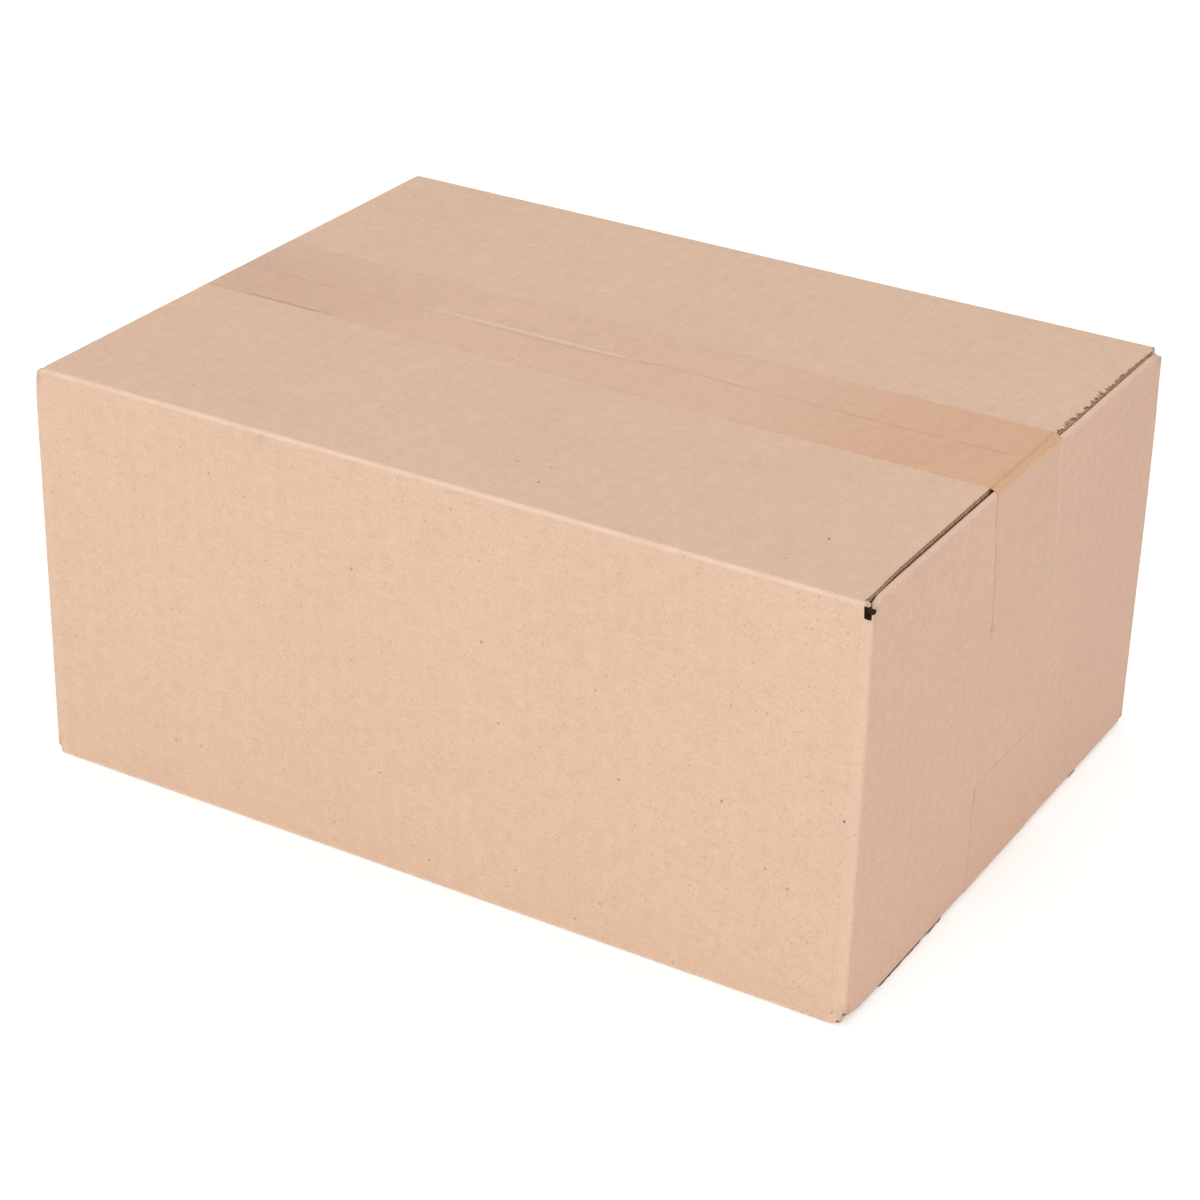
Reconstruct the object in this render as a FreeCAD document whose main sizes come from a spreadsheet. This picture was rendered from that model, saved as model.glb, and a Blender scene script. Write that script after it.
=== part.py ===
import FreeCAD, Part
import math
import os

import Sketcher

# A corrugated carton, closed and sealed with two strips of packing tape.
# Millimetres. X runs along the length, Y across the width and Z up.
# The origin is the middle of the underside, on the surface that the carton stands on.
# The long panels at -Y and +Y carry the major flaps, which meet at the seam along X.
# The end panels at -X and +X carry the minor flaps, folded in under the major ones.

os.makedirs("parts", exist_ok=True)
doc = FreeCAD.newDocument("carton")
sheet = doc.addObject("Spreadsheet::Sheet", "sizes")

driving_sizes = {
    # the carton as it stands, outside
    "box_length": 300,
    "box_width": 219,
    "box_height": 143,
    # single-wall board: its full thickness, one facing, and the fluted sheet seen at a cut
    "board": 3,
    "facing": 0.4,
    "fluting": 0.5,
    "cut_depth": 0.8,
    # inside radii of the upright creases and of the long folds
    "corner_inside": 0.3,
    "fold_inside": 0.2,
    # the fold over each end panel: a bead that rolls back down beside the major flap's end
    "bead_radius": 2,
    "roll_radius": 0.9,
    "bead_gap": 0.5,
    "bead_drop_top": 1,
    "bead_drop_bottom": 1.0,
    # slots between the flaps end this far past the top and bottom, and the long folds reach
    # this near to the end panels' outer faces
    "slot_end": 3.1,
    "fold_setback": 1.8,
    # the slot's end shows as a small hole at the front right corner
    "nick_width": 1.8,
    "nick_height": 2.6,
    "nick_inset": 1.2,
    "nick_below": 2.2,
    # minor flaps, measured from the end panel's outer face
    "minor_depth": 109.5,
    "layer_gap": 0.3,
    # the seams between the major flaps
    "seam_gap_top": 1.6,
    "seam_gap_bottom": 1.0,
    "seam_shift": 2.1,
    "seam_slant": 2.1,
    # the glued joint at the back left corner
    "tab_width": 35,
    "tab_taper": 9,
    "joint_setback": 1.2,
    "glue_start": 2.1,
    # sealing tape
    "tape_width": 48,
    "tape_film": 0.1,
    "top_tape_shift": 2.5,
    "top_tape_drop": 48,
    "bottom_tape_shift": 0,
    "bottom_tape_drop": 41,
}
for row, (alias, value) in enumerate(driving_sizes.items(), 1):
    sheet.set(f"A{row}", alias)
    sheet.set(f"B{row}", str(value))
    sheet.setAlias(f"B{row}", alias)
doc.recompute()

# Lengths that follow from the driving sizes, as formulas for the sketches.
half_length = "sizes.box_length / 2"
half_width = "sizes.box_width / 2"
half_height = "sizes.box_height / 2"
corner_outside = "(sizes.corner_inside + sizes.board)"
fold_outside = "(sizes.fold_inside + sizes.board)"
flap_setback = "(sizes.bead_radius + sizes.roll_radius + sizes.bead_gap)"


def origin_plane(body, role):
    return next(plane for plane in body.Origin.OriginFeatures if plane.Role == role)


def new_body(name):
    # each body's own origin is the middle of the carton, lifted until the lower tape rests at zero
    body = doc.addObject("PartDesign::Body", name)
    body.Label = name
    body.setExpression("Placement.Base.z", f"{half_height} + sizes.tape_film")
    return body


def new_sketch(body, role, name, lift="0"):
    sketch = body.newObject("Sketcher::SketchObject", name)
    sketch.AttachmentSupport = [(origin_plane(body, role), "")]
    sketch.MapMode = "FlatFace"
    sketch.setExpression("AttachmentOffset.Base.z", lift)
    return sketch


def arc_centre(start, end, radius, turn):
    # the centre lies left of the chord for a left turn (1) and right of it for a right turn (-1)
    chord = end - start
    reach = math.sqrt(max(radius**2 - chord.Length**2 / 4, 0))
    across = FreeCAD.Vector(-chord.y, chord.x, 0).normalize()
    return start + chord * 0.5 + across * reach * turn


def arc_edge(start, end, radius, turn):
    centre = arc_centre(start, end, radius, turn)
    first, last = (start, end) if turn > 0 else (end, start)
    angles = [math.atan2(point.y - centre.y, point.x - centre.x) for point in (first, last)]
    circle = Part.Circle(centre, FreeCAD.Vector(0, 0, 1), radius)
    return Part.ArcOfCircle(circle, *angles)


def bind(sketch, constraint, name, formula):
    index = sketch.addConstraint(constraint)
    sketch.renameConstraint(index, name)
    sketch.setExpression(f"Constraints.{name}", formula)


def draw_outline(sketch, steps):
    # A closed outline. Each step gives the point where an edge ends, as two formulas; an arc adds
    # its radius and its turn. The first step's edge closes the outline.
    tag = f"n{sketch.GeometryCount}"
    points = [
        FreeCAD.Vector(float(sketch.evalExpression(step[0])), float(sketch.evalExpression(step[1])), 0)
        for step in steps
    ]
    ends = []
    for number, step in enumerate(steps):
        start, end = points[number - 1], points[number]
        if len(step) == 2:
            edge = sketch.addGeometry(Part.LineSegment(start, end))
            ends.append((edge, 1, 2))
            continue
        radius_formula, turn = step[2:]
        radius = float(sketch.evalExpression(radius_formula))
        edge = sketch.addGeometry(arc_edge(start, end, radius, turn))
        ends.append((edge, 1, 2) if turn > 0 else (edge, 2, 1))
        radius_rule = Sketcher.Constraint("Radius", edge, radius)
        bind(sketch, radius_rule, f"{tag}_radius{number}", radius_formula)
    for number, step in enumerate(steps):
        edge, _, end_vertex = ends[number]
        next_edge, next_start, _ = ends[(number + 1) % len(steps)]
        sketch.addConstraint(Sketcher.Constraint("Coincident", edge, end_vertex, next_edge, next_start))
        across = Sketcher.Constraint("DistanceX", -1, 1, edge, end_vertex, points[number].x)
        along = Sketcher.Constraint("DistanceY", -1, 1, edge, end_vertex, points[number].y)
        bind(sketch, across, f"{tag}_x{number}", step[0])
        bind(sketch, along, f"{tag}_y{number}", step[1])


def draw_rounded_rectangle(sketch, half_x, half_y, radius):
    steps = [
        (f"-({half_x}) + {radius}", f"-({half_y})", radius, 1),
        (f"{half_x} - {radius}", f"-({half_y})"),
        (f"{half_x}", f"-({half_y}) + {radius}", radius, 1),
        (f"{half_x}", f"{half_y} - {radius}"),
        (f"{half_x} - {radius}", f"{half_y}", radius, 1),
        (f"-({half_x}) + {radius}", f"{half_y}"),
        (f"-({half_x})", f"{half_y} - {radius}", radius, 1),
        (f"-({half_x})", f"-({half_y}) + {radius}"),
    ]
    draw_outline(sketch, steps)


def add_pad(body, sketch, name, length, symmetric=True, other_length=None):
    pad = body.newObject("PartDesign::Pad", name)
    pad.Profile = sketch
    pad.SideType = "Symmetric" if symmetric else "One side"
    pad.setExpression("Length", length)
    if other_length:
        pad.SideType = "Two sides"
        pad.setExpression("Length2", other_length)
    return pad


def add_pocket(body, sketch, name, length, symmetric=False, reverse=False):
    doc.recompute()
    before = body.Shape.Volume
    pocket = body.newObject("PartDesign::Pocket", name)
    pocket.Profile = sketch
    pocket.SideType = "Symmetric" if symmetric else "One side"
    pocket.Reversed = reverse
    pocket.setExpression("Length", length)
    doc.recompute()
    if body.Shape.Volume >= before:
        raise RuntimeError(f"{name} removes nothing")
    return pocket


# The upright walls between the slots, with the glue tab inside the back left corner.
def add_walls(carton):
    plan = new_sketch(carton, "XY_Plane", "wall_plan", f"-({half_height}) + sizes.slot_end")
    left = f"-({half_length})"
    front = f"-({half_width})"
    tab_face = f"{half_width} - sizes.board"
    crease_top = f"{tab_face} - {corner_outside}"
    crease_y = f"{crease_top} + sqrt({corner_outside} ^ 2 - ({corner_outside} - sizes.glue_start) ^ 2)"
    outside = [
        (f"{left} + {corner_outside}", front, corner_outside, 1),
        (f"{half_length} - {corner_outside}", front),
        (half_length, f"{front} + {corner_outside}", corner_outside, 1),
        (half_length, f"{half_width} - {corner_outside}"),
        (f"{half_length} - {corner_outside}", half_width, corner_outside, 1),
        (f"{left} + sizes.joint_setback", half_width),
        (f"{left} + sizes.joint_setback", tab_face),
        (f"{left} + sizes.glue_start", tab_face),
        (f"{left} + sizes.glue_start", crease_y),
        (left, crease_top, corner_outside, 1),
        (left, f"{front} + {corner_outside}"),
    ]
    draw_outline(plan, outside)
    right_face = f"{half_length} - sizes.board"
    left_face = f"{left} + sizes.board"
    front_face = f"{front} + sizes.board"
    tab_back = f"{half_width} - 2 * sizes.board"
    inner = "sizes.corner_inside"
    inside = [
        (f"{left_face} + {inner}", front_face, inner, 1),
        (f"{right_face} - {inner}", front_face),
        (right_face, f"{front_face} + {inner}", inner, 1),
        (right_face, f"{tab_face} - {inner}"),
        (f"{right_face} - {inner}", tab_face, inner, 1),
        (f"{left_face} + sizes.tab_width", tab_face),
        (f"{left_face} + sizes.tab_width", tab_back),
        (f"{left_face} + {inner}", tab_back),
        (left_face, f"{tab_back} - {inner}", inner, 1),
        (left_face, f"{front_face} + {inner}"),
    ]
    draw_outline(plan, inside)
    add_pad(carton, plan, "walls", "sizes.box_height - 2 * sizes.slot_end", symmetric=False)


# The long panels with their major flaps: one ring around X, which the seams then part.
def add_long_panels(carton):
    section = new_sketch(carton, "YZ_Plane", "long_section")
    draw_rounded_rectangle(section, half_width, half_height, fold_outside)
    inner_width = f"({half_width} - sizes.board)"
    inner_height = f"({half_height} - sizes.board)"
    draw_rounded_rectangle(section, inner_width, inner_height, "sizes.fold_inside")
    add_pad(carton, section, "long_panels", "sizes.box_length - 2 * sizes.fold_setback")


# The slots set the major flaps' ends back from the ends of their folds.
def add_flap_ends(carton):
    section = new_sketch(carton, "XZ_Plane", "flap_end_section")
    flap_end = f"({half_length} - {flap_setback})"
    fold_end = f"({half_length} - sizes.fold_setback + sizes.bead_gap / 2)"
    under = f"({half_height} - sizes.board - sizes.layer_gap / 2)"
    over = f"({half_height} + sizes.layer_gap)"
    for side in (1, -1):
        for level in (1, -1):
            outline = [
                (f"{side} * {flap_end}", f"{level} * {under}"),
                (f"{side} * {fold_end}", f"{level} * {under}"),
                (f"{side} * {fold_end}", f"{level} * {over}"),
                (f"{side} * {flap_end}", f"{level} * {over}"),
            ]
            draw_outline(section, outline)
    add_pocket(carton, section, "flap_ends", f"sizes.box_width - 2 * {fold_outside}", symmetric=True)


# Steps given for the right end's upper half, moved to the side and level asked for.
def mirror_steps(steps, side, level):
    moved = []
    for x, z, *arc in steps:
        turned = [arc[0], arc[1] * side * level] if arc else []
        moved.append((f"{side} * ({x})", f"{level} * ({z})", *turned))
    return moved


# One half of an end panel's section: over the bead, down beside the major flap and under it.
def end_fold(side, level, drop):
    crest = f"{half_height} - {drop}"
    bead_x = f"{half_length} - sizes.bead_radius"
    roll_x = f"{bead_x} - sizes.roll_radius"
    flap_top = f"{half_height} - sizes.board - sizes.layer_gap"
    steps = [
        (half_length, f"{crest} - sizes.bead_radius"),
        (bead_x, crest, "sizes.bead_radius", 1),
        (roll_x, f"{crest} - sizes.roll_radius", "sizes.roll_radius", 1),
        (roll_x, flap_top),
        (f"{half_length} - sizes.minor_depth", flap_top),
        (f"{half_length} - sizes.minor_depth", f"{flap_top} - sizes.board"),
        (f"{half_length} - sizes.board", f"{flap_top} - sizes.board"),
    ]
    return mirror_steps(steps, side, level)


# The same points in the other order: an arc then belongs to the point where it ends.
def reversed_steps(steps):
    backwards = []
    for number in range(len(steps) - 1, -1, -1):
        following = steps[number + 1] if number + 1 < len(steps) else steps[number][:2]
        arc = [following[2], -following[3]] if len(following) > 2 else []
        backwards.append((*steps[number][:2], *arc))
    return backwards


def add_end_panels(carton):
    for name, side in (("right_end", 1), ("left_end", -1)):
        section = new_sketch(carton, "XZ_Plane", f"{name}_section")
        upper = end_fold(side, 1, "sizes.bead_drop_top")
        lower = reversed_steps(end_fold(side, -1, "sizes.bead_drop_bottom"))
        draw_outline(section, upper + lower)
        reach = f"{half_width} - {fold_outside} - sizes.bead_gap"
        joint_side = "0" if side > 0 else "sizes.board"
        add_pad(carton, section, name, reach, other_length=f"{reach} - {joint_side}")


# The seam parts the two major flaps. At the top it lies off the middle and runs a little askew.
def add_seams(carton):
    reach = f"({half_length} - {flap_setback} + sizes.bead_gap / 2)"
    seams = (
        ("top_seam", half_height, "sizes.seam_gap_top", "sizes.seam_shift", "sizes.seam_slant", False),
        ("bottom_seam", f"-({half_height})", "sizes.seam_gap_bottom", "0", "0", True),
    )
    for name, lift, gap, shift, slant, from_below in seams:
        plan = new_sketch(carton, "XY_Plane", f"{name}_plan", lift)
        outline = [
            (f"-{reach}", f"{shift} - {slant} - {gap} / 2"),
            (reach, f"{shift} + {slant} - {gap} / 2"),
            (reach, f"{shift} + {slant} + {gap} / 2"),
            (f"-{reach}", f"{shift} - {slant} + {gap} / 2"),
        ]
        draw_outline(plan, outline)
        add_pocket(carton, plan, name, "sizes.board + sizes.layer_gap / 2", reverse=from_below)


# The major flaps' slotted ends are cut along the flutes: two facings stand proud, and the fluted
# sheet shows as a third line between them.
def add_cut_edges(carton):
    section = new_sketch(carton, "XZ_Plane", "cut_edge_section")
    outer_x = f"({half_length} - {flap_setback} + sizes.bead_gap / 2)"
    inner_x = f"({half_length} - {flap_setback} - sizes.cut_depth)"
    top = half_height
    middle = f"{half_height} - sizes.board / 2"
    grooves = (
        (f"({middle} + sizes.fluting / 2)", f"({top} - sizes.facing)"),
        (f"({top} - sizes.board + sizes.facing)", f"({middle} - sizes.fluting / 2)"),
    )
    for side in (1, -1):
        for level in (1, -1):
            for low, high in grooves:
                outline = [
                    (f"{side} * {inner_x}", f"{level} * {low}"),
                    (f"{side} * {outer_x}", f"{level} * {low}"),
                    (f"{side} * {outer_x}", f"{level} * {high}"),
                    (f"{side} * {inner_x}", f"{level} * {high}"),
                ]
                draw_outline(section, outline)
    add_pocket(carton, section, "cut_edges", f"sizes.box_width - 2 * {fold_outside}", symmetric=True)


# The hole that the slot's end leaves at the front right corner, just under the fold.
def add_nick(carton):
    face = new_sketch(carton, "XZ_Plane", "nick_face", half_width)
    right = f"({half_length} - sizes.nick_inset)"
    top = f"({half_height} - sizes.nick_below)"
    outline = [
        (f"{right} - sizes.nick_width", f"{top} - sizes.nick_height"),
        (right, f"{top} - sizes.nick_height"),
        (right, top),
        (f"{right} - sizes.nick_width", top),
    ]
    draw_outline(face, outline)
    add_pocket(carton, face, "nick", "sizes.board")


# The tab's two ends slope, so that it slips behind the back panel.
def add_tab_ends(carton):
    plan = new_sketch(carton, "XZ_Plane", "tab_end_plan", f"-({half_width} - sizes.board)")
    root = f"-({half_length}) + sizes.board + sizes.corner_inside"
    tip = f"-({half_length}) + sizes.board + sizes.tab_width"
    for level in (1, -1):
        tab_end = f"({half_height} - sizes.slot_end)"
        outline = [
            (root, f"{level} * {tab_end}"),
            (tip, f"{level} * {tab_end}"),
            (tip, f"{level} * ({tab_end} - sizes.tab_taper)"),
        ]
        draw_outline(plan, outline)
    add_pocket(carton, plan, "tab_ends", "sizes.board", reverse=True)


# One strip: flat over the seam, down to the bead over each end panel, round it and down the wall.
def add_tape(name, level, shift, drop, bead_drop):
    tape = new_body(name)
    section = new_sketch(tape, "XZ_Plane", f"{name}_section", f"-({shift})")
    film = "sizes.tape_film"
    run = f"({flap_setback} - sizes.bead_radius)"
    rise = f"({bead_drop} + sizes.bead_radius)"
    touch = f"(atan2({rise}; -{run}) - acos(sizes.bead_radius / sqrt({run} ^ 2 + {rise} ^ 2)))"
    centre_x = f"({half_length} - sizes.bead_radius)"
    centre_z = f"({half_height} - {rise})"

    def side_points(layer, lean):
        # from the strip's cut end up the wall, round the bead and on to the flap's end
        radius = f"(sizes.bead_radius + {layer})"
        return [
            (f"{half_length} + {layer}", f"{half_height} - {drop}"),
            (f"{half_length} + {layer}", centre_z),
            (f"{centre_x} + {radius} * cos({touch})", f"{centre_z} + {radius} * sin({touch})", radius, 1),
            (f"{half_length} - {flap_setback} + {lean}", f"{half_height} + {layer}"),
        ]

    outer = side_points(film, f"{film} * tan((90 deg - {touch}) / 2)")
    inner = side_points("0", "0")
    outline = mirror_steps(outer, 1, level) + reversed_steps(mirror_steps(outer, -1, level))
    outline += mirror_steps(inner, -1, level) + reversed_steps(mirror_steps(inner, 1, level))
    draw_outline(section, outline)
    add_pad(tape, section, f"{name}_strip", "sizes.tape_width")
    return tape


carton = new_body("carton")
add_walls(carton)
add_long_panels(carton)
add_flap_ends(carton)
add_end_panels(carton)
add_seams(carton)
add_cut_edges(carton)
add_tab_ends(carton)
add_nick(carton)
top_tape = add_tape("top_tape", 1, "sizes.top_tape_shift", "sizes.top_tape_drop", "sizes.bead_drop_top")
bottom_tape = add_tape(
    "bottom_tape", -1, "sizes.bottom_tape_shift", "sizes.bottom_tape_drop", "sizes.bead_drop_bottom"
)

doc.recompute()
for item in doc.Objects:
    if "Invalid" in item.State or "Error" in item.State:
        raise RuntimeError(f"{item.Label} failed: {item.State}")
for body in (carton, top_tape, bottom_tape):
    shape = body.Shape
    if shape.isNull() or not shape.isValid() or len(shape.Solids) != 1:
        raise RuntimeError(f"{body.Label} is not one valid solid")
for body in (carton, top_tape, bottom_tape):
    box = body.Shape.BoundBox
    print(body.Label, round(body.Shape.Volume, 1), [round(v, 3) for v in (box.XMin, box.XMax, box.YMin)])
    print("  ", [round(v, 3) for v in (box.YMax, box.ZMin, box.ZMax)])
    body.Shape.exportStep(f"parts/{body.Label}.step")
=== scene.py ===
import math

import bmesh
import bpy
from mathutils import Matrix, Vector, noise


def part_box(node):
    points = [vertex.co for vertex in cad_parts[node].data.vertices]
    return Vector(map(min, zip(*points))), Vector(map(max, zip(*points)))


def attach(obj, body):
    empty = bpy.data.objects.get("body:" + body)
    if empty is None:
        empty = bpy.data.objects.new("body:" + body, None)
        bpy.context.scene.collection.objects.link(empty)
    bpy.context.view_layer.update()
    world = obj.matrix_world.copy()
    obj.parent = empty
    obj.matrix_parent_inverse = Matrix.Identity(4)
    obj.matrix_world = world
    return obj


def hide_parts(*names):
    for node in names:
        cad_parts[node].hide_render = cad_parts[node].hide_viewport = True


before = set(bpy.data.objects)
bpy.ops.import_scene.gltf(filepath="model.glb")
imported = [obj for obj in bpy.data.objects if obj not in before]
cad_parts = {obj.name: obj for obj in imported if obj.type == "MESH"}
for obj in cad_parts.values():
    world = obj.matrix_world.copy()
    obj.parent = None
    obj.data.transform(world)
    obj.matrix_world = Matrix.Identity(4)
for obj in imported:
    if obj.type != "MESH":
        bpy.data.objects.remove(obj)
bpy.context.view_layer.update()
mm = 0.001

# The carton in mm: its outside is read from the frame, and its folds are as they were built
boxLow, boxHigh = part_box("carton")
carton = {
    "halfLength": round(boxHigh.x / mm, 1),
    "halfWidth": round(boxHigh.y / mm, 1),
    "bottom": round(boxLow.z / mm, 1),
    "top": round(boxHigh.z / mm, 1),
    "longFold": 3.2,  # outer radius of the folds along the long sides
    "upright": 3.3,  # of the upright corners
    "endFold": 2.0,  # of the rolled fold along each end
    "endFoldDepth": 1.0,  # how far the rolled folds lie under the top and bottom
    "flapEnd": (146.0, 146.8),  # the major flaps end between these
}
halfLength, halfWidth = carton["halfLength"], carton["halfWidth"]
bottom, top = carton["bottom"], carton["top"]
middleZ, halfHeight = (bottom + top) / 2, (top - bottom) / 2


# Small helpers for meshes

meshing = {
    "merge": 0.002 * mm,
    "flatDegrees": 0.4,  # faces this close to one plane become one face
    "cutTolerance": 0.001 * mm,
    "sharpDegrees": 38,
}


def readCopy(nodeName):  # a CAD node's mesh as one merged surface of flat faces
    shell = bmesh.new()
    shell.from_mesh(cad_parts[nodeName].data)
    bmesh.ops.remove_doubles(shell, verts=shell.verts, dist=meshing["merge"])
    flat = math.radians(meshing["flatDegrees"])
    bmesh.ops.dissolve_limit(shell, angle_limit=flat, verts=shell.verts, edges=shell.edges)
    return shell


def cutAcross(shell, axis, places, keepFace=None):  # plane cuts square to an axis, at places in mm
    normal = Vector((axis == 0, axis == 1, axis == 2))
    for place in places:
        faces = [face for face in shell.faces if keepFace is None or keepFace(face)]
        edges = {edge for face in faces for edge in face.edges}
        verts = {vert for edge in edges for vert in edge.verts}
        bmesh.ops.bisect_plane(
            shell, geom=list(verts) + list(edges) + faces, dist=meshing["cutTolerance"],
            plane_co=normal * place * mm, plane_no=normal,
        )


def spread(low, high, count):
    return [low + (high - low) * (step + 1) / (count + 1) for step in range(count)]


def centreOf(face):  # in mm
    return face.calc_center_median() / mm


def finishPiece(shell, name, material, replaced):
    bmesh.ops.triangulate(shell, faces=shell.faces)
    mesh = bpy.data.meshes.new(name)
    shell.to_mesh(mesh)
    shell.free()
    mesh.materials.append(material)
    for polygon in mesh.polygons:
        polygon.use_smooth = True
    mesh.set_sharp_from_angle(angle=math.radians(meshing["sharpDegrees"]))
    piece = bpy.data.objects.new(name, mesh)
    bpy.context.scene.collection.objects.link(piece)
    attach(piece, "root")
    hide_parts(replaced)


def ease(value, low, high):  # 0 below low, 1 above high, smooth between
    t = min(max((value - low) / (high - low), 0.0), 1.0)
    return t * t * (3 - 2 * t)


def wander(point, pitch, seed=0.0):  # smooth noise from -1 to 1, with its pitch in mm
    x, y, z = (value / pitch for value in point)
    return noise.noise(Vector((x + seed, y - seed, z + seed * 0.7)))


# Small helpers for materials

def addNode(tree, kind, inputs=None, **settings):
    made = tree.nodes.new("ShaderNode" + kind)
    for key, value in settings.items():
        setattr(made, key, value)
    for key, value in (inputs or {}).items():
        if isinstance(value, bpy.types.NodeSocket):
            tree.links.new(value, made.inputs[key])
        else:
            made.inputs[key].default_value = value
    return made


def calc(tree, operation, first, second=0.0):
    return addNode(tree, "Math", {0: first, 1: second}, operation=operation).outputs[0]


def times(tree, first, *others):  # the product of all
    for other in others:
        first = calc(tree, "MULTIPLY", first, other)
    return first


def fade(tree, value, low, high, toLow=0.0, toHigh=1.0):  # smooth step of a value between two limits
    limits = {"Value": value, "From Min": low, "From Max": high, "To Min": toLow, "To Max": toHigh}
    return addNode(tree, "MapRange", limits, interpolation_type="SMOOTHSTEP").outputs["Result"]


def between(tree, value, low, high):  # 1 inside the two limits, 0 outside
    away = calc(tree, "ABSOLUTE", calc(tree, "SUBTRACT", value, (low + high) / 2))
    return calc(tree, "LESS_THAN", away, (high - low) / 2)


def band(tree, value, middle, halfWide, soft):  # 1 on a line, fading to 0 beside it
    away = calc(tree, "ABSOLUTE", calc(tree, "SUBTRACT", value, middle))
    return fade(tree, away, halfWide + soft, halfWide)


def blendColour(tree, factor, first, second, mode="MIX"):
    made = addNode(tree, "Mix", data_type="RGBA", blend_type=mode, clamp_factor=True)
    for index, value in ((0, factor), (6, first), (7, second)):
        if isinstance(value, bpy.types.NodeSocket):
            tree.links.new(value, made.inputs[index])
        else:
            made.inputs[index].default_value = value
    return made.outputs[2]


def cloud(tree, where, scale, detail=3.0, roughness=0.55, stretch=(1, 1, 1), offset=(0, 0, 0)):
    placed = addNode(tree, "Mapping", {"Vector": where, "Scale": stretch, "Location": offset})
    settings = {"Vector": placed.outputs[0], "Scale": scale, "Detail": detail, "Roughness": roughness}
    return addNode(tree, "TexNoise", settings).outputs["Fac"]


def jitter(tree, where, scale, reach):  # noise about zero, in metres
    return times(tree, calc(tree, "SUBTRACT", cloud(tree, where, scale), 0.5), reach)


def flecks(tree, where, scale, size, share, offset):  # sparse dots: cells of which only a share holds one
    placed = addNode(tree, "Mapping", {"Vector": where, "Location": offset})
    cells = addNode(tree, "TexVoronoi", {"Vector": placed.outputs[0], "Scale": scale, "Randomness": 1.0})
    chance = addNode(tree, "SeparateColor", {"Color": cells.outputs["Color"]})
    picked = calc(tree, "LESS_THAN", chance.outputs[0], share)
    reach = times(tree, chance.outputs[1], size)
    inner = times(tree, reach, 0.4)
    near = calc(tree, "SUBTRACT", 1.0, fade(tree, cells.outputs["Distance"], inner, reach))
    return times(tree, picked, near)


def newMaterial(name):
    material = bpy.data.materials.new(name)
    material.use_nodes = True
    material.node_tree.nodes.clear()
    return material


def addShader(tree, inputs, bumpHeight, bumpDistance):
    bump = addNode(tree, "Bump", {"Strength": 1.0, "Distance": bumpDistance, "Height": bumpHeight})
    shader = addNode(tree, "BsdfPrincipled", dict(inputs, Normal=bump.outputs[0]))
    addNode(tree, "OutputMaterial", {"Surface": shader.outputs[0]})


# The kraft board's material

board = {
    "paper": (0.776, 0.538, 0.391, 1),
    # pale paper: the light flecks' colour, also used for painted highlights on the folds and the tape
    "pale": (0.93, 0.72, 0.56, 1),
    "dark": (0.34, 0.22, 0.15, 1),
    "warm": (0.80, 0.53, 0.36, 1),
    "warmShare": 0.10,
    "flutePitch": 6.4,
    "fluteShade": 0.006,
    "fluteHeight": 0.10,
    "endShading": (1.03, 0.995, 1.03, 1),  # painted light and shade on the end walls, lighter at the front and darker at the back
    "endShadingFar": (0.995, 0.965, 1.005, 1),
    "endShadingFade": (-20, 105),
    "cutEdge": (0.68, 0.46, 0.31, 1),
    "crushedShare": 0.7,
    # the pit's near-black is painted shade inside the hole at the front right corner
    "pitShade": (0.03, 0.017, 0.01, 1),
    "pitShadeShare": 0.93,
    "roughness": 0.9,
    "specular": 0.2,
    "bump": 0.10,
}

# the paper's noise: fineness, detail, roughness, stretch, and share of the brightness
paperNoise = {
    "broad": (14, 3, 0.55, (1, 1, 1), 0.035),
    "mottle": (260, 5, 0.65, (1, 1, 1), 0.09),
    "grain": (1300, 3, 0.7, (1, 1, 1), 0.21),
    "fibre": (500, 4, 0.65, (0.3, 0.3, 1.5), 0.07),
}

# flecks: cells to a metre, size in a cell, share of cells, shift, strength and tone
paperFlecks = [
    (110, 0.085, 0.30, 0.0, 0.55, "dark"),
    (300, 0.17, 0.24, 0.4, 0.50, "dark"),
    (620, 0.30, 0.22, 0.7, 0.36, "dark"),
    (260, 0.20, 0.16, 0.1, 0.40, "pale"),
    (560, 0.30, 0.20, 0.3, 0.42, "pale"),
]

# pale wear and painted highlights on folds (at the upright corners and the rolled folds mostly painted
# highlight):
# how far inside the faces across each axis it starts and is full, in mm, then its strength and how even it is
foldWearAndHighlights = [
    ((("y", 1.8, 0.6), ("z", 1.8, 0.6)), 0.62, 0.55),  # the long folds
    ((("x", 5.4, 2.4), ("y", 0.7, 0.3)), 0.13, 0.7),  # the upright corners
    ((("x", 4.4, 3.8), ("z", 2.9, 2.1), ("z", 0.5, 0.8)), 0.28, 0.7),  # the rolled folds of the ends
]

# painted shade in the hole at the front right corner, low and high in mm: its opening, and what shows behind
# it
holeShadeZones = [
    ((146.9, -109.6, 138.2), (148.6, -105.9, 141.4)),
    ((144.0, -108.9, 137.0), (146.95, -104.0, 141.4)),
]

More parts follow.
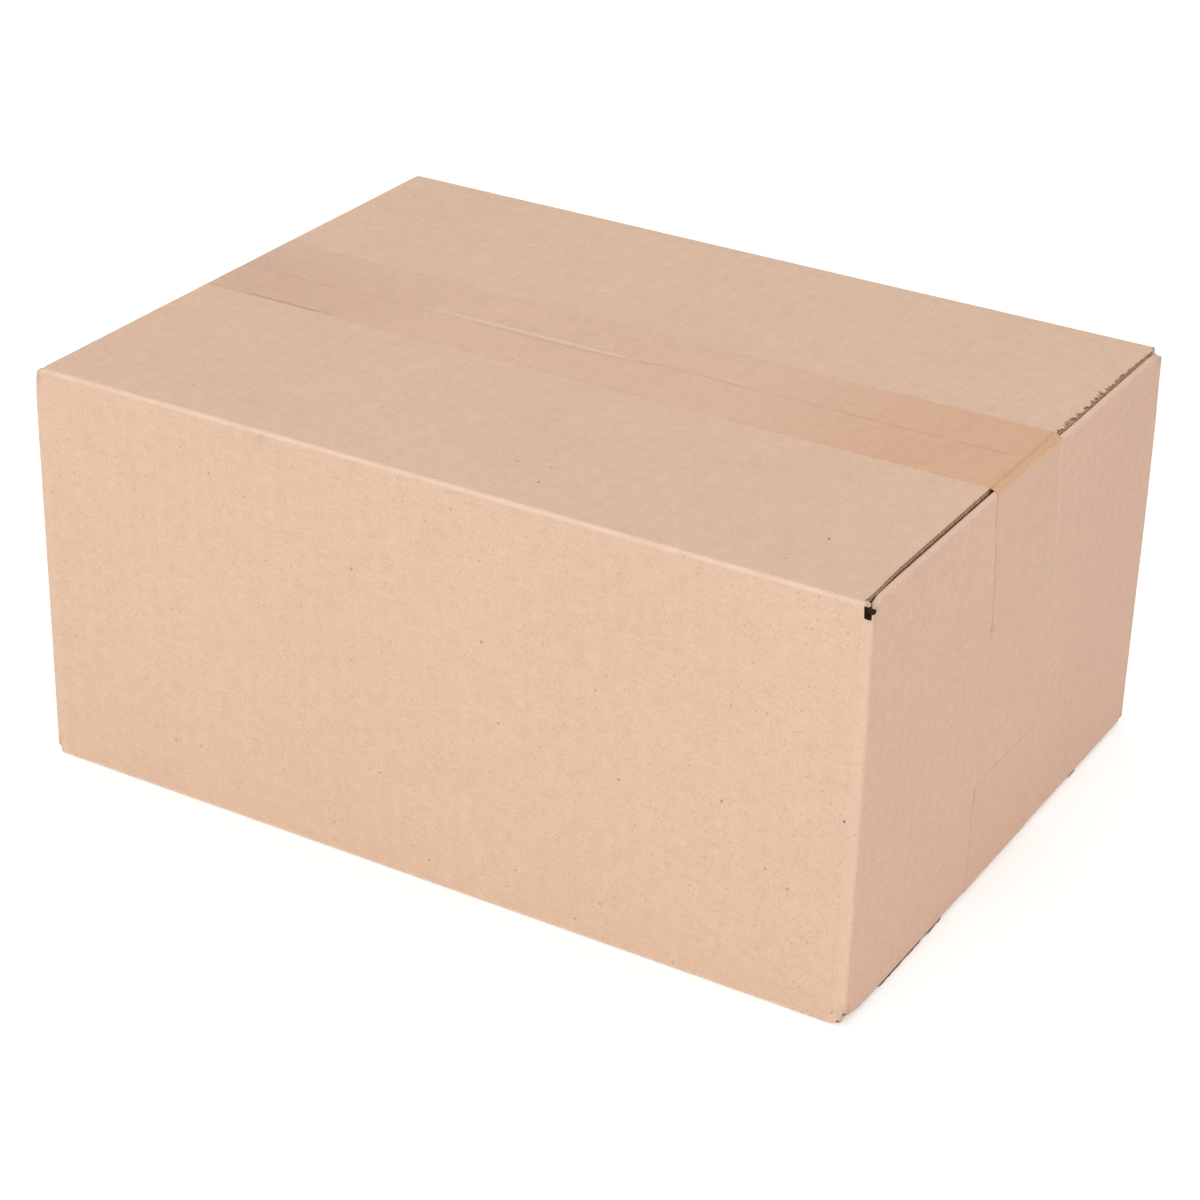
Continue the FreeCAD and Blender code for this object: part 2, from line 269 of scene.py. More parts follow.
# small marks on the paper: place in mm, radius in mm, colour and strength
marks = [
    ((145.0, -109.5, 71.5), 0.55, (0.16, 0.17, 0.30, 1), 0.9),
    ((70.0, -109.5, 61.0), 0.45, (0.30, 0.19, 0.13, 1), 0.8),
    ((105.0, -109.5, 65.0), 0.50, (0.25, 0.16, 0.11, 1), 0.8),
    ((61.0, -109.5, 89.0), 0.40, (0.33, 0.20, 0.14, 1), 0.7),
    ((27.0, -109.5, 67.0), 0.40, (0.30, 0.19, 0.13, 1), 0.7),
    ((-21.0, -109.5, 35.0), 0.45, (0.38, 0.42, 0.26, 1), 0.6),
    ((56.0, -109.5, 6.0), 0.45, (0.28, 0.18, 0.12, 1), 0.7),
    ((34.0, -109.5, 16.0), 0.40, (0.33, 0.21, 0.15, 1), 0.7),
    ((120.0, -79.0, 143.1), 0.55, (0.24, 0.15, 0.10, 1), 0.8),
    ((17.0, -84.0, 143.1), 0.45, (0.30, 0.19, 0.13, 1), 0.7),
    ((30.0, -93.0, 143.1), 0.55, (0.28, 0.18, 0.12, 1), 0.8),
    ((115.0, -97.0, 143.1), 0.40, (0.33, 0.21, 0.15, 1), 0.7),
    ((71.0, 96.0, 143.1), 0.45, (0.30, 0.19, 0.13, 1), 0.6),
    ((-79.0, -69.0, 143.1), 0.40, (0.33, 0.21, 0.15, 1), 0.6),
    # torn paper round the hole at the front right corner
    ((147.2, -109.2, 142.4), 1.0, (0.56, 0.46, 0.40, 1), 0.75),
    ((149.0, -109.0, 142.3), 0.6, (0.13, 0.08, 0.06, 1), 0.85),
    ((149.6, -107.6, 138.6), 0.45, (0.28, 0.19, 0.12, 1), 0.7),
    ((149.6, -108.3, 136.4), 0.35, (0.36, 0.25, 0.17, 1), 0.6),
    # dark spots at the crushed corner below it
    ((147.6, -109.3, 1.8), 0.85, (0.20, 0.13, 0.09, 1), 0.85),
    ((149.5, -109.3, 5.0), 0.85, (0.20, 0.13, 0.09, 1), 0.85),
    ((145.4, -109.3, 4.6), 0.45, (0.32, 0.21, 0.15, 1), 0.7),
    # painted shade: a grey band along the underside of the bottom fold, seen at a grazing angle
    ((132.5, -109.2, 0.4), 1.1, (0.60, 0.50, 0.46, 1), 0.5),
    ((135.5, -109.2, 0.4), 1.4, (0.58, 0.49, 0.46, 1), 0.55),
    ((138.8, -109.2, 0.4), 1.5, (0.58, 0.49, 0.46, 1), 0.6),
    ((142.0, -109.2, 0.5), 1.4, (0.60, 0.50, 0.46, 1), 0.55),
    ((-149.0, 103.9, 143.0), 0.9, (0.16, 0.11, 0.08, 1), 0.8),
    # the curled tip of the far flap
    ((147.0, 107.6, 142.9), 1.5, (0.22, 0.15, 0.11, 1), 0.85),
]


def kraftPattern(tree):  # colour and height of the board's paper, with painted light and shade on the end walls, on Object coordinates
    where = addNode(tree, "TexCoord").outputs["Object"]
    x, y, z = addNode(tree, "SeparateXYZ", {"Vector": where}).outputs
    normal = addNode(tree, "SeparateXYZ", {"Vector": addNode(tree, "NewGeometry").outputs["True Normal"]})
    facesEnd = fade(tree, calc(tree, "ABSOLUTE", normal.outputs[0]), 0.6, 0.8)
    alongFlutes = addNode(tree, "Mix", {0: facesEnd, 2: x, 3: y}, data_type="FLOAT").outputs[0]
    wave = calc(tree, "SINE", times(tree, alongFlutes, 2 * math.pi / (board["flutePitch"] * mm)))
    value = calc(tree, "ADD", times(tree, wave, board["fluteShade"]), 1.0)
    noises = {}
    for name, (fineness, detail, roughness, stretch, share) in paperNoise.items():
        noises[name] = cloud(tree, where, fineness, detail, roughness, stretch)
        value = calc(tree, "ADD", value, times(tree, calc(tree, "SUBTRACT", noises[name], 0.5), share * 2))
    shade = addNode(tree, "CombineColor", {0: value, 1: value, 2: value}).outputs[0]
    colour = blendColour(tree, 1.0, board["paper"], shade, "MULTIPLY")
    warmth = fade(tree, cloud(tree, where, 120, 4, 0.6, offset=(0.2, 0.6, 0.4)), 0.35, 0.65)
    colour = blendColour(tree, times(tree, warmth, board["warmShare"]), colour, board["warm"])
    # painted light and shade: the end walls lighter and bluer at the front, darker at the back
    front, back = (place * mm for place in board["endShadingFade"])
    endShading = blendColour(tree, fade(tree, y, front, back), board["endShading"], board["endShadingFar"])
    colour = blendColour(tree, facesEnd, colour, blendColour(tree, 1.0, colour, endShading, "MULTIPLY"))
    for scale, size, share, shift, strength, tone in paperFlecks:
        dots = flecks(tree, where, scale, size, share, (shift, shift * 0.7, shift * 0.3))
        colour = blendColour(tree, times(tree, dots, strength), colour, board[tone])
    height = calc(tree, "ADD", times(tree, noises["grain"], 0.5), times(tree, noises["fibre"], 0.5))
    return {"where": where, "x": x, "y": y, "z": z, "wave": wave, "colour": colour, "height": height}


def makeBoardMaterial():
    material = newMaterial("kraftBoard")
    tree = material.node_tree
    kraft = kraftPattern(tree)
    where, colour = kraft["where"], kraft["colour"]
    fromMiddle = {
        "x": (calc(tree, "ABSOLUTE", kraft["x"]), halfLength),
        "y": (calc(tree, "ABSOLUTE", kraft["y"]), halfWidth),
        "z": (calc(tree, "ABSOLUTE", calc(tree, "SUBTRACT", kraft["z"], middleZ * mm)), halfHeight),
    }
    # pale wear and painted highlights along the folds, in patches
    wearAndHighlightNoise = fade(tree, cloud(tree, where, 130, 4, 0.6, offset=(0.7, 0.2, 0.5)), 0.3, 0.65)
    for limits, strength, evenness in foldWearAndHighlights:
        mask = 1.0
        for axis, start, full in limits:
            distance, half = fromMiddle[axis]
            mask = times(tree, mask, fade(tree, distance, (half - start) * mm, (half - full) * mm))
        patchy = times(tree, mask, fade(tree, wearAndHighlightNoise, 0.0, 1.0, evenness * strength, strength))
        colour = blendColour(tree, patchy, colour, board["pale"])
    cut = addNode(tree, "Attribute", attribute_name="cutEdge").outputs["Fac"]
    crushed = fade(tree, cloud(tree, where, 1100, 3, 0.6, offset=(0.1, 0.8, 0.2)), 0.42, 0.62)
    crushed = times(tree, crushed, board["crushedShare"])
    colour = blendColour(tree, cut, colour, blendColour(tree, crushed, board["cutEdge"], board["dark"]))
    # painted shade: near-black on the faces inside the corner hole, and darkening on the crushed ends
    pitShade = addNode(tree, "Attribute", attribute_name="pitShade").outputs["Fac"]
    colour = blendColour(tree, pitShade, colour, board["pitShade"])
    rough = jitter(tree, where, 1500, 0.9 * mm)
    raggedX = calc(tree, "ADD", kraft["x"], times(tree, rough, 0.8))
    # painted shade over the hole's opening and what shows behind it
    for low, high in holeShadeZones:
        inHole = board["pitShadeShare"]
        for value, least, most in zip((raggedX, kraft["y"], kraft["z"]), low, high):
            inHole = times(tree, between(tree, value, least * mm, most * mm), inHole)
        colour = blendColour(tree, inHole, colour, board["pitShade"])
    for place, radius, tone, strength in marks:
        away = addNode(tree, "VectorMath", {0: where, 1: Vector(place) * mm}, operation="DISTANCE")
        away = calc(tree, "ADD", away.outputs["Value"], rough)
        blot = fade(tree, away, radius * 1.15 * mm, radius * 0.6 * mm)
        colour = blendColour(tree, times(tree, blot, strength), colour, tone)
    height = calc(tree, "ADD", kraft["height"], times(tree, kraft["wave"], board["fluteHeight"]))
    look = {"Base Color": colour, "Roughness": board["roughness"], "Specular IOR Level": board["specular"]}
    addShader(tree, look, height, board["bump"] * mm)
    return material


# The carton

drawn = {  # how the scene draws the carton's paper, in mm
    "longFold": 1.3,  # outer radius of the folds along the long sides
    "upright": 1.1,  # of the upright corners
    "endFold": 1.0,  # of the rolled fold along the right end's top
    "arcTolerance": 0.16,  # a point this close to an arc is on it
    "slack": 0.05,  # the least that a face lies inside the true box, with as much again on average
    "slackPitch": 46.0,  # from a slow wander of this pitch
    "slackStart": 2.9,  # the slack fades in from here to slackFull under each face
    "slackStartEnds": 3.0,
    "slackFull": 0.2,
}

rightLean = {  # how the right end leans in under the top flaps, in mm
    "wall": (2.4, 1.6),  # how far in, near and far
    "flap": (1.85, 0.6),  # how far short of the true box the flaps' ends fall, near and far
    "nearToFar": (5, 40),
    "lowerZ": (80, 112),  # a quarter of the lean comes between these heights
    "lowerShare": 0.25,
    "upperZ": (108, 140),  # and the rest between these
    "heldY": (102, 109),  # the corners are held back between these distances from the middle
    "heldNear": 0.8,
    "heldFar": 0.45,
    "flapHeldY": (82, 106),
    "flapHeld": 0.4,
    "flapZ": (140.0, 140.3),  # the flaps' own paper is above and inside these
    "flapX": (146.6, 147.2),
    "reachX": (140, 145),  # the lean fades in along the top between these
}

leftEnd = {"drop": 0.9, "shift": 0.5, "sinkZ": (137, 141)}  # the left end's top fold sinks and moves in

corners = {  # crushed and bent corners, in mm
    "crush": 1.7,  # how far the lower one at the front right is pressed up, and where that fades
    "crushX": (143.8, 150),
    "crushY": (-107, -98),
    "crushZ": (2, 12),
    "out": 0.9,  # how far the top front one sticks out at the left end
    "inward": 1.3,  # how far the top back one is drawn in at the right end
}

flapEnds = {  # the major flaps' cut ends, torn and crushed at the right, in mm
    "ragged": (0.15, 0.40),  # how far out they stand, least and most
    "raggedPitch": 1.7,
    "tearFromY": 27.5,  # the far top flap's torn paper starts beside the tape and dies out further back
    "tearFadeY": (60, 88),
    "tearFade": 0.7,
    "tearDepth": 1.5,
    "tearSink": 0.45,
    "peepDark": 0.30,  # how dark the bottom flaps' ends are for each mm that they stick out
}

# where the bottom flaps' crushed ends stick out under the right end's wall: how far, and from and
# to which y they rise and fall, in mm
peeps = [
    (2.4, (-87, -83), (-40, -35)),
    (2.3, (62, 64), (69, 71)),
]


def roundCorner(first, second, wide, tight):  # from a wide arc to a tight one, from the wide one's centre
    angle = math.atan2(max(second, 0.0), max(first, 0.0))
    proud = math.hypot(first, second) - wide
    flat = wide - tight
    quarter = tight * math.pi / 2
    travel = angle / (math.pi / 2) * (2 * flat + quarter)
    if travel < flat:
        return wide + proud, travel
    if travel > flat + quarter:
        return flat - (travel - flat - quarter), wide + proud
    turn = (travel - flat) / tight
    return flat + (tight + proud) * math.cos(turn), flat + (tight + proud) * math.sin(turn)


def onArc(first, second, radius):
    near = abs(math.hypot(first, second) - radius) < drawn["arcTolerance"]
    return first > -0.01 and second > -0.01 and near


def tighten(point):  # draws the paper of the folds from the true box's radii to tighter ones
    x, y, z = point
    up = 1 if z > middleZ else -1
    side = 1 if y > 0 else -1
    end = 1 if x > 0 else -1
    wide, tight = carton["longFold"], drawn["longFold"]
    outY, outZ = y * side - (halfWidth - wide), (z - middleZ) * up - (halfHeight - wide)
    cornerX, cornerY = halfLength - carton["upright"], halfWidth - carton["upright"]
    rollX, rollTop = halfLength - carton["endFold"], top - carton["endFoldDepth"]
    rollZ = rollTop - carton["endFold"]
    if onArc(outY, outZ, wide):
        angle = math.atan2(max(outZ, 0), max(outY, 0))
        y = side * (halfWidth - tight + tight * math.cos(angle))
        z = middleZ + up * (halfHeight - tight + tight * math.sin(angle))
    elif bottom + 2.9 < z < top - 2.1 and onArc(x * end - cornerX, y * side - cornerY, carton["upright"]):
        newX, newY = roundCorner(x * end - cornerX, y * side - cornerY, carton["upright"], drawn["upright"])
        x, y = end * (cornerX + newX), side * (cornerY + newY)
    elif x > 0 and z > rollZ - 0.1 and abs(y) < cornerY:
        tight = drawn["endFold"]
        if onArc(x - rollX, z - rollZ, carton["endFold"]):
            angle = math.atan2(max(z - rollZ, 0), max(x - rollX, 0))
            proud = math.hypot(x - rollX, z - rollZ) - carton["endFold"]
            x = halfLength - tight + (tight + proud) * math.cos(angle)
            z = rollTop - tight + (tight + proud) * math.sin(angle)
        elif x > cornerX + 0.2:
            x += carton["endFold"] - tight
    return Vector((x, y, z))


def blend(near, far, share):  # near at share 0, far at share 1
    return near + (far - near) * share


def leanIn(x, y, z):  # how far a point of the right end lies inside the true box
    far = ease(y, *rightLean["nearToFar"])
    share = rightLean["lowerShare"]
    leaning = share * ease(z, *rightLean["lowerZ"]) + (1 - share) * ease(z, *rightLean["upperZ"])
    held = 1 - (rightLean["heldNear"] if y < 0 else rightLean["heldFar"]) * ease(abs(y), *rightLean["heldY"])
    onFlap = ease(z, *rightLean["flapZ"]) * (1 - ease(x, *rightLean["flapX"]))
    wall = blend(*rightLean["wall"], far) * leaning * held
    flapHeld = 1 - rightLean["flapHeld"] * ease(abs(y), *rightLean["flapHeldY"])
    flap = blend(*rightLean["flap"], far) * flapHeld
    return (wall * (1 - onFlap) + flap * onFlap) * ease(x, *rightLean["reachX"])


def settle(point):  # how far a point of the surface lies inside the true box, in mm
    x, y, z = point
    depth = drawn["slack"] + drawn["slack"] * (1 + wander(point, drawn["slackPitch"], 3.1))
    full, start, startEnds = drawn["slackFull"], drawn["slackStart"], drawn["slackStartEnds"]
    offset = Vector((0, 0, 0))
    offset.z -= depth * ease(z, top - start, top - full)
    offset.y += depth * (1 - ease(y, full - halfWidth, start - halfWidth))
    offset.y -= depth * ease(y, halfWidth - start, halfWidth - full)
    offset.x += depth * (1 - ease(x, full - halfLength, startEnds - halfLength))
    offset.x -= depth * ease(x, halfLength - startEnds, halfLength - full)
    atTop = z > top - start
    if x > rightLean["reachX"][0] and z > 60:
        offset.x -= leanIn(x, y, z)
    if x < 3.1 - halfLength and z > 130:
        sunk = ease(z, *leftEnd["sinkZ"])
        offset.z -= leftEnd["drop"] * sunk
        offset.x += leftEnd["shift"] * sunk
    if x > 130 and y < -90 and z < 16:
        pressed = ease(x, *corners["crushX"]) * (1 - ease(z, *corners["crushZ"]))
        offset.z += corners["crush"] * pressed * (1 - ease(y, *corners["crushY"]))
    if atTop and x < 3.0 - halfLength and y < 3.5 - halfWidth:
        offset.x -= corners["out"]
    if atTop and x > halfLength - 3.1 and y > halfWidth - 3.3:
        offset.x -= corners["inward"]
    return offset


def peep(y):  # how far a bottom flap's crushed end sticks out there
    return sum(reach * ease(y, *rise) * (1 - ease(y, *fall)) for reach, rise, fall in peeps)


def onFlapEnd(face):  # true on the cut ends of the major flaps
    c = centreOf(face)
    return 145.3 < abs(c.x) < 146.8 and abs(c.z - middleZ) > halfHeight - 3.2 and abs(c.y) < 106.4


def paintFlapEnds(shell):  # where the cut board shows, with painted shade in the corner hole and darkening on the bottom flaps' crushed ends
    cutEdge = shell.loops.layers.float.new("cutEdge")
    pitShade = shell.loops.layers.float.new("pitShade")
    for face in shell.faces:
        c = centreOf(face)
        isEnd = onFlapEnd(face)
        isCut = isEnd and (abs(face.normal.x) > 0.7 or abs(c.z - middleZ) < halfHeight - 0.05)
        # the bottom flaps' crushed ends that stick out are darkened towards the pit's near-black, more the
        # further they stick out
        crushed = flapEnds["peepDark"] * peep(c.y) if isEnd and c.x > 145 and c.z < 0.72 else 0.0
        # painted shade on the faces inside the corner hole
        inHole = 146.9 < c.x < 148.4 and -109.35 < c.y < -106.3 and 138.2 < c.z < 141.0
        for loop in face.loops:
            loop[cutEdge] = 1.0 if isCut else 0.0
            loop[pitShade] = 1.0 if inHole and face.normal.y > -0.3 else crushed * (loop.vert.co.x > 146 * mm)


def raggedOffset(x, y, z):  # of a flap's cut end, in mm
    offset = Vector((0, 0, 0))
    ragged = 0.5 + 0.5 * wander((0, y, z * 4), flapEnds["raggedPitch"], 1.3)
    least, most = flapEnds["ragged"]
    offset.x += math.copysign(most - (most - least) * ragged, x)
    if x > 0 and y > flapEnds["tearFromY"] and z > 142.4:
        teeth = ease(0.5 * wander((0, y, 0), 1.6, 2.0) + wander((0, y, 0), 0.75, 5.0), -0.25, 0.45)
        tear = 1 - flapEnds["tearFade"] * ease(y, *flapEnds["tearFadeY"])
        tear *= 0.6 + 0.4 * ease(wander((0, y, 0), 6.0, 8.0), -0.3, 0.3)
        offset.x -= flapEnds["tearDepth"] * tear * teeth
        offset.z -= flapEnds["tearSink"] * tear * (1 - teeth)
    if x > 0 and z < 0.75:
        offset.x += peep(y) * (0.85 + 0.15 * wander((0, y, 0), 5.0, 4.0))
    return offset


def cutCarton(shell):  # enough vertices for the folds, the lean and the crushed places
    def outside(face):
        c = centreOf(face)
        return abs(c.x) > 144 or abs(c.y) > 107 or abs(c.z - middleZ) > 70

    def nearFloor(face):
        return centreOf(face).z < 12

    def atFlapEdge(face):
        return 145.4 < centreOf(face).x < 147 and outside(face)

    def atRightEnd(face):
        return centreOf(face).x > 146.7

    cutAcross(shell, 0, spread(-144, 144, 47), outside)
    cutAcross(shell, 1, spread(-106, 106, 35), outside)
    cutAcross(shell, 2, spread(4, 139, 22), outside)
    cutAcross(shell, 0, (-145.4, 145.4), outside)
    cutAcross(shell, 0, (134, 138, 141.5, 143.5), nearFloor)
    cutAcross(shell, 2, (0.7,), atFlapEdge)
    cutAcross(shell, 2, (140.4, 141.6), atRightEnd)
    edges = dict.fromkeys(edge for face in shell.faces if onFlapEnd(face) for edge in face.edges)
    long = [edge for edge in edges if abs(edge.verts[0].co.y - edge.verts[1].co.y) > 2 * mm]
    bmesh.ops.subdivide_edges(shell, edges=long, cuts=14, use_grid_fill=True)


def makeCarton(material):
    shell = readCopy("carton")
    cutCarton(shell)
    paintFlapEnds(shell)
    endLow, endHigh = carton["flapEnd"]
    for vert in shell.verts:
        x, y, z = vert.co / mm
        point = tighten(Vector((x, y, z)))
        offset = settle(point)
        if endLow < abs(x) < endHigh and abs(y) < halfWidth - carton["upright"]:
            offset += raggedOffset(x, y, z)
        vert.co = (point + offset) * mm
    finishPiece(shell, "carton_board", material, "carton")


# The tapes

tape = {
    "left": (0.90, 0.82, 0.785, 1),  # tints of the paper under the film, near and far at the left
    "leftFar": (0.935, 0.875, 0.85, 1),
    # painted reflection: the middle tint is lighter where the glossy film reflects the white surroundings
    "middle": (0.968, 0.90, 0.865, 1),
    "right": (0.945, 0.80, 0.685, 1),
    "end": (0.915, 0.846, 0.765, 1),
    "bridge": (0.94, 0.80, 0.62, 1),
    # seam: painted shadow of the gap between the flaps, under the film
    "seam": (0.56, 0.28, 0.19, 1),
    # edge: painted shadow under the film's lifted and loose edges
    "edge": (0.46, 0.28, 0.18, 1),
    "wrinkle": (0.56, 0.29, 0.14, 1),
    "roughness": 0.42,
    "specular": 0.3,
    "bump": 0.10,
    "seamY": 1.9,  # where the strip sinks into the seam, and how far and how widely
    "seamSink": 0.12,
    "seamReach": 1.4,
    "lift": 0.12,  # how far the strip stands off the rolled fold at the right
}

# where the tape's tints and lines fade in, from and to in mm
tapeFades = {
    "top": (140.6, 142.2),  # heights of the end walls' top and the top
    "leftFar": (-2, 22),
    # the painted reflection along the middle fades in between these
    "middle": (-130, -55),
    "right": (40, 125),
    "bridgeX": (137, 144.5),  # where the film crosses the gap at the right end
    "bridgeZ": (138.6, 141.4),
    "seamStep": (-12, 22),
    "seamEnd": (145, 140),
    # the painted highlight beside the seam fades in and out between these
    "paleStart": (-80, -55),
    "paleEnd": (12, -8),
    "liftedStart": (-134, -124),
    "liftedEnd": (-92, -104),
    "dropEdge": (104, 112),
}


def across(tree, value, name):
    low, high = tapeFades[name]
    return fade(tree, value, low * mm, high * mm)


def tapeSides(nodeName):  # its near and far edges, in mm
    low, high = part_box(nodeName)
    return round(low.y / mm, 1), round(high.y / mm, 1)


def tintFilm(tree, kraft, onTop):  # the paper as it shows through the film, lighter along the middle with a painted reflection of the film's gloss
    where, x, y, z = kraft["where"], kraft["x"], kraft["y"], kraft["z"]
    leftTint = blendColour(tree, across(tree, y, "leftFar"), tape["left"], tape["leftFar"])
    # painted reflection: lighter tint along the middle of the strip
    tint = blendColour(tree, across(tree, x, "middle"), leftTint, tape["middle"])
    tint = blendColour(tree, across(tree, x, "right"), tint, tape["right"])
    tint = blendColour(tree, onTop, tape["end"], tint)
    fromFold = calc(tree, "ADD", x, jitter(tree, where, 110, 9 * mm))
    bridge = times(tree, across(tree, fromFold, "bridgeX"), across(tree, z, "bridgeZ"))
    tint = blendColour(tree, bridge, tint, tape["bridge"])
    return blendColour(tree, 1.0, kraft["colour"], tint, "MULTIPLY"), bridge


def drawSeam(tree, kraft, onTop, colour):  # painted shadow of the seam's gap as a dark line under the film, and a painted highlight beside it near the middle
    where, x, y = kraft["where"], kraft["x"], kraft["y"]
    drift = jitter(tree, where, 90, 1.4 * mm)
    low, high = tapeFades["seamStep"]
    seamY = calc(tree, "ADD", fade(tree, x, low * mm, high * mm, 0.0, 3.4 * mm), drift)
    steady = fade(tree, cloud(tree, where, 55, 3, offset=(0.9, 0.1, 0.6)), 0.3, 0.6, 0.35, 1.0)
    # painted shadow in the seam's gap
    seam = times(tree, band(tree, y, seamY, 0.25 * mm, 0.5 * mm), onTop, steady, 0.42)
    seam = times(tree, seam, across(tree, x, "seamEnd"))
    colour = blendColour(tree, seam, colour, tape["seam"])
    paleY = calc(tree, "ADD", drift, 2.6 * mm)
    # painted highlight beside the seam
    pale = times(tree, band(tree, y, paleY, 0.3 * mm, 0.6 * mm), onTop, 0.4)
    pale = times(tree, pale, across(tree, x, "paleStart"), across(tree, x, "paleEnd"))
    return blendColour(tree, pale, colour, board["pale"])


def drawEdges(tree, kraft, onTop, bridge, colour):  # painted shadow under the lifted edge near the left end, fainter painted shadow down the end wall, a painted highlight on the far edge, and a wrinkle at the bridge
    where, x, y, z = kraft["where"], kraft["x"], kraft["y"], kraft["z"]
    nearSide, farSide = tapeSides("top_tape")
    wobble = jitter(tree, where, 220, 0.7 * mm)
    wavyY = calc(tree, "ADD", y, wobble)
    # painted shadow under the lifted near edge at the left end
    lifted = times(tree, band(tree, wavyY, (nearSide + 0.5) * mm, 0.15 * mm, 0.45 * mm), onTop, 0.85)
    lifted = times(tree, lifted, across(tree, x, "liftedStart"), across(tree, x, "liftedEnd"))
    colour = blendColour(tree, lifted, colour, tape["edge"])
    offTop = calc(tree, "SUBTRACT", 1.0, onTop)
    broken = fade(tree, cloud(tree, where, 180, 3, offset=(0.3, 0.3, 0.9)), 0.42, 0.55)
    # painted shadow under the loose edge where the film runs down the end wall
    dropEdge = times(tree, band(tree, wavyY, (nearSide + 0.4) * mm, 0.10 * mm, 0.35 * mm), offTop, broken, 0.6)
    dropEdge = times(tree, dropEdge, across(tree, z, "dropEdge"))
    colour = blendColour(tree, dropEdge, colour, tape["edge"])
    # painted highlight along the far edge on the end wall
    farEdge = times(tree, band(tree, y, (farSide - 0.2) * mm, 0.15 * mm, 0.3 * mm), offTop, 0.35)
    colour = blendColour(tree, farEdge, colour, board["pale"])
    wavyX = calc(tree, "ADD", x, times(tree, wobble, 1.6))
    wrinkle = times(tree, band(tree, wavyX, 145.2 * mm, 0.15 * mm, 0.7 * mm), bridge, 0.35)
    return blendColour(tree, wrinkle, colour, tape["wrinkle"])


def makeTapeMaterial():
    material = newMaterial("packingTape")
    tree = material.node_tree
    kraft = kraftPattern(tree)
    onTop = across(tree, kraft["z"], "top")
    colour, bridge = tintFilm(tree, kraft, onTop)
    colour = drawSeam(tree, kraft, onTop, colour)
    colour = drawEdges(tree, kraft, onTop, bridge, colour)
    height = times(tree, cloud(tree, kraft["where"], 240, 3), 0.5)
    look = {"Base Color": colour, "Roughness": tape["roughness"], "Specular IOR Level": tape["specular"]}
    addShader(tree, look, height, tape["bump"] * mm)
    return material


def makeTape(nodeName, pieceName, material):
    shell = readCopy(nodeName)
    low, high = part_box(nodeName)[0].z / mm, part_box(nodeName)[1].z / mm
    cutAcross(shell, 0, spread(-146, 146, 71) + [-145.2, 145.2])
    cutAcross(shell, 1, spread(*tapeSides(nodeName), 25))
    cutAcross(shell, 2, spread(low + 0.5, high - 3.5, 14))
    onTop = nodeName == "top_tape"
    for vert in shell.verts:
        point = vert.co / mm
        if onTop and point.x > 145:
            point = tighten(point)
        offset = settle(point)
        if 146.5 < point.x < 149.9:
            offset.x += tape["lift"] * ease(point.x, 146.5, 148.0)
        if onTop:
            fromSeam = (point.y - tape["seamY"]) / tape["seamReach"]
            offset.z -= tape["seamSink"] * math.exp(-fromSeam ** 2) * ease(point.z, 142, 143)
        vert.co = (point + offset) * mm
    finishPiece(shell, pieceName, material, nodeName)


# Floor, light and camera

studio = {
    "floor": (0.93, 0.93, 0.93, 1),
    "floorReach": 6.0,
    "floorLift": 0.35,  # what the camera sees is lifted to plain white, apart from the shadow
    "world": 0.845,
    "keyPower": 11.6,
    "keySize": 1.4,
    "keyPlace": (0.10, -2.45, 0.82),
    "keyAim": (0, 0, 0.07),
}

cameraView = {
    "sensor": 36,
    "lens": 92.394,
    "place": (0.45967, -0.80299, 0.53964),
    "forward": (-0.44062, 0.76789, -0.46498),
    "up": (-0.25546, 0.38929, 0.88498),
}


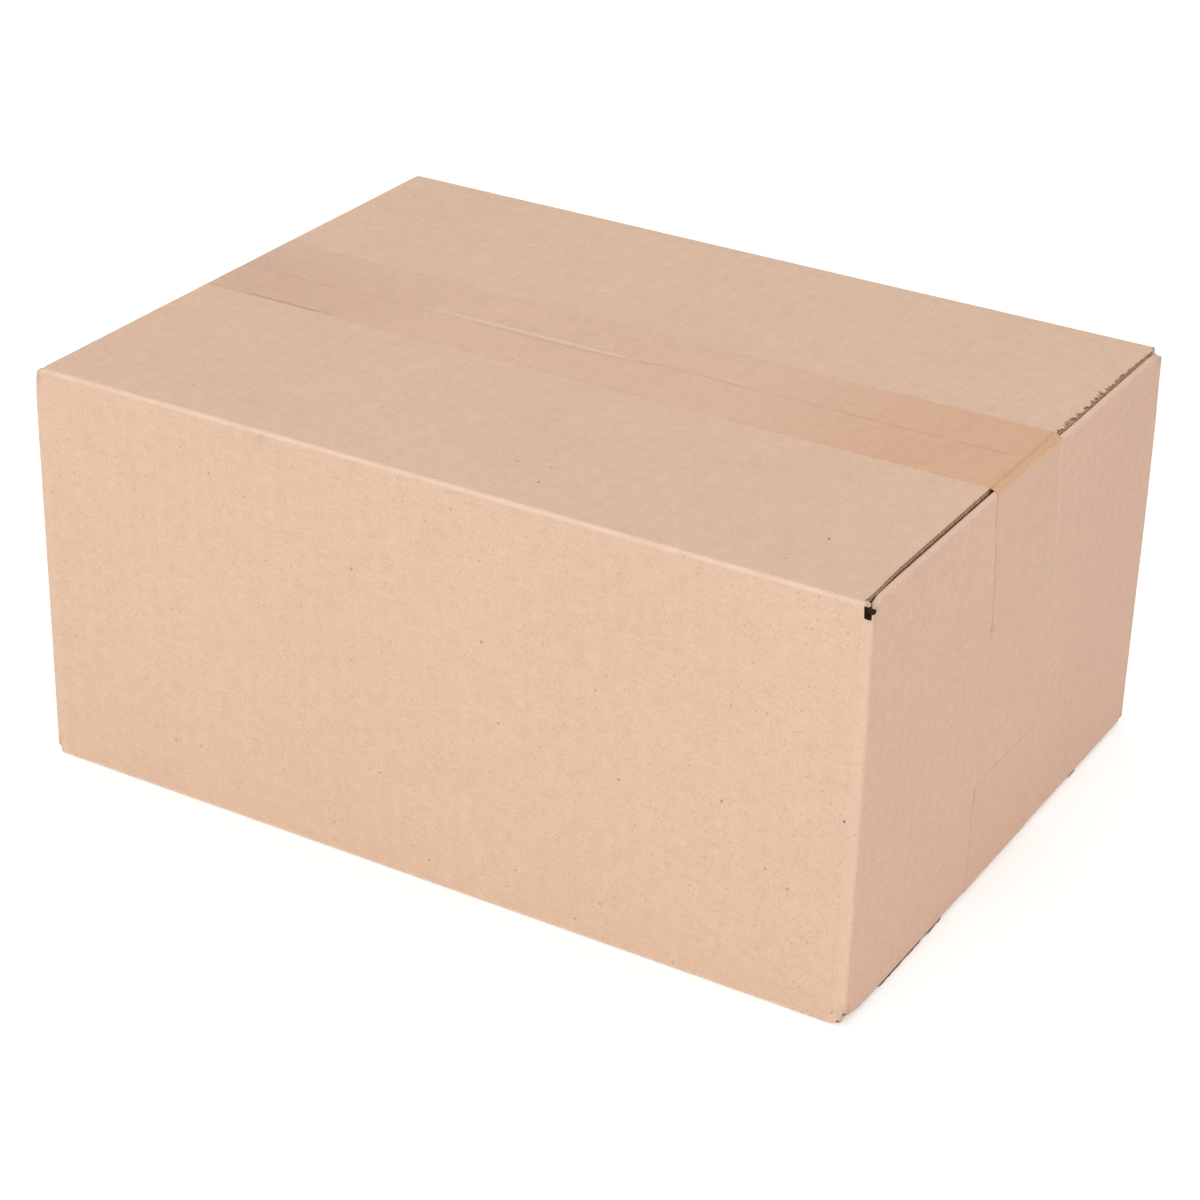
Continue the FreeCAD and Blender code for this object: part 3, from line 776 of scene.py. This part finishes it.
def makeFloor():
    shell = bmesh.new()
    bmesh.ops.create_grid(shell, x_segments=1, y_segments=1, size=studio["floorReach"])
    mesh = bpy.data.meshes.new("floor")
    shell.to_mesh(mesh)
    shell.free()
    floor = bpy.data.objects.new("floor", mesh)
    bpy.context.scene.collection.objects.link(floor)
    material = newMaterial("paleFloor")
    tree = material.node_tree
    seen = addNode(tree, "LightPath")
    plain = addNode(tree, "BsdfDiffuse", {"Color": studio["floor"]})
    lift = addNode(tree, "Emission", {"Color": (1, 1, 1, 1), "Strength": studio["floorLift"]})
    both = addNode(tree, "AddShader", {0: plain.outputs[0], 1: lift.outputs[0]})
    white = calc(tree, "MAXIMUM", seen.outputs["Is Camera Ray"], seen.outputs["Is Glossy Ray"])
    mixed = addNode(tree, "MixShader", {0: white, 1: plain.outputs[0], 2: both.outputs[0]})
    addNode(tree, "OutputMaterial", {"Surface": mixed.outputs[0]})
    mesh.materials.append(material)


def makeLight():
    world = bpy.data.worlds.new("studio")
    bpy.context.scene.world = world
    world.use_nodes = True
    tree = world.node_tree
    tree.nodes.clear()
    seen = addNode(tree, "LightPath")
    white = calc(tree, "MAXIMUM", seen.outputs["Is Camera Ray"], seen.outputs["Is Transmission Ray"])
    strength = fade(tree, white, 0.0, 1.0, studio["world"], 1.0)
    background = addNode(tree, "Background", {"Color": (1, 1, 1, 1), "Strength": strength})
    addNode(tree, "OutputWorld", {"Surface": background.outputs[0]})
    key = bpy.data.lights.new("key", "AREA")
    key.energy = studio["keyPower"]
    key.size = studio["keySize"]
    lamp = bpy.data.objects.new("key", key)
    lamp.location = studio["keyPlace"]
    lamp.rotation_euler = (Vector(studio["keyAim"]) - lamp.location).to_track_quat("-Z", "Y").to_euler()
    bpy.context.scene.collection.objects.link(lamp)


def makeCamera():
    forward = Vector(cameraView["forward"]).normalized()
    right = forward.cross(Vector(cameraView["up"])).normalized()
    up = right.cross(forward)
    data = bpy.data.cameras.new("camera")
    data.sensor_width = cameraView["sensor"]
    data.lens = cameraView["lens"]
    camera = bpy.data.objects.new("camera", data)
    turned = Matrix((right, up, -forward)).transposed().to_4x4()
    camera.matrix_world = Matrix.Translation(cameraView["place"]) @ turned
    bpy.context.scene.collection.objects.link(camera)
    bpy.context.scene.camera = camera


print("camera, light and floor")
makeCamera()
makeLight()
makeFloor()
bpy.context.scene.view_settings.view_transform = "Standard"

print("carton")
makeCarton(makeBoardMaterial())

print("tapes")
tapeMaterial = makeTapeMaterial()
makeTape("top_tape", "tape_over_top", tapeMaterial)
makeTape("bottom_tape", "tape_under_bottom", tapeMaterial)
